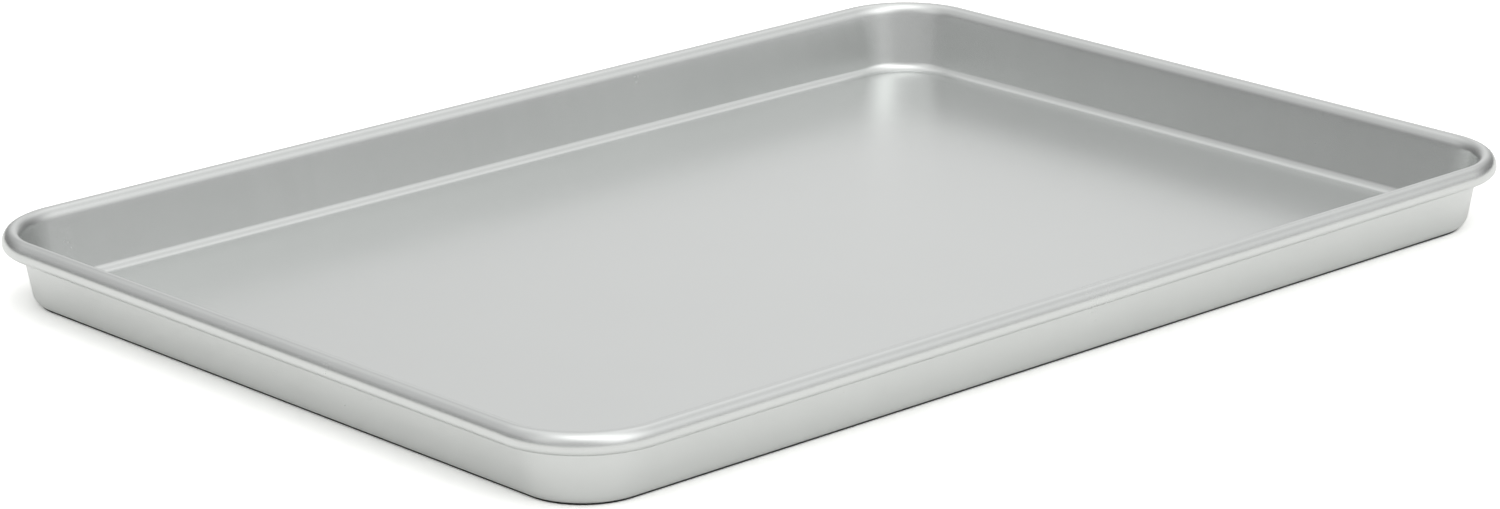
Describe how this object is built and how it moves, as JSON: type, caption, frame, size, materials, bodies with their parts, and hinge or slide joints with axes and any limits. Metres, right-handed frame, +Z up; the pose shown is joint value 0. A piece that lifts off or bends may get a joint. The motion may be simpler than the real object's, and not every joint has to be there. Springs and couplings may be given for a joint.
{
  "type": "cookie sheet",
  "caption": "Shallow rectangular rimmed baking sheet, pressed from one steel sheet with sloped walls, rounded corners and an edge rolled outwards round a stiffening wire.",
  "frame": {"origin": "middle of the flat underside", "axes": "+X along the long sides, +Y along the short sides, +Z up out of the pan"},
  "size_m": [0.4318, 0.3048, 0.0254],
  "materials": {
    "coated_sheet": "satin silver-grey non-stick coating on pressed steel",
    "wire": "dull galvanised"
  },
  "bodies": {
    "root": {"pan_body": "coated_sheet", "rim_wire": "wire"}
  },
  "joints": []
}
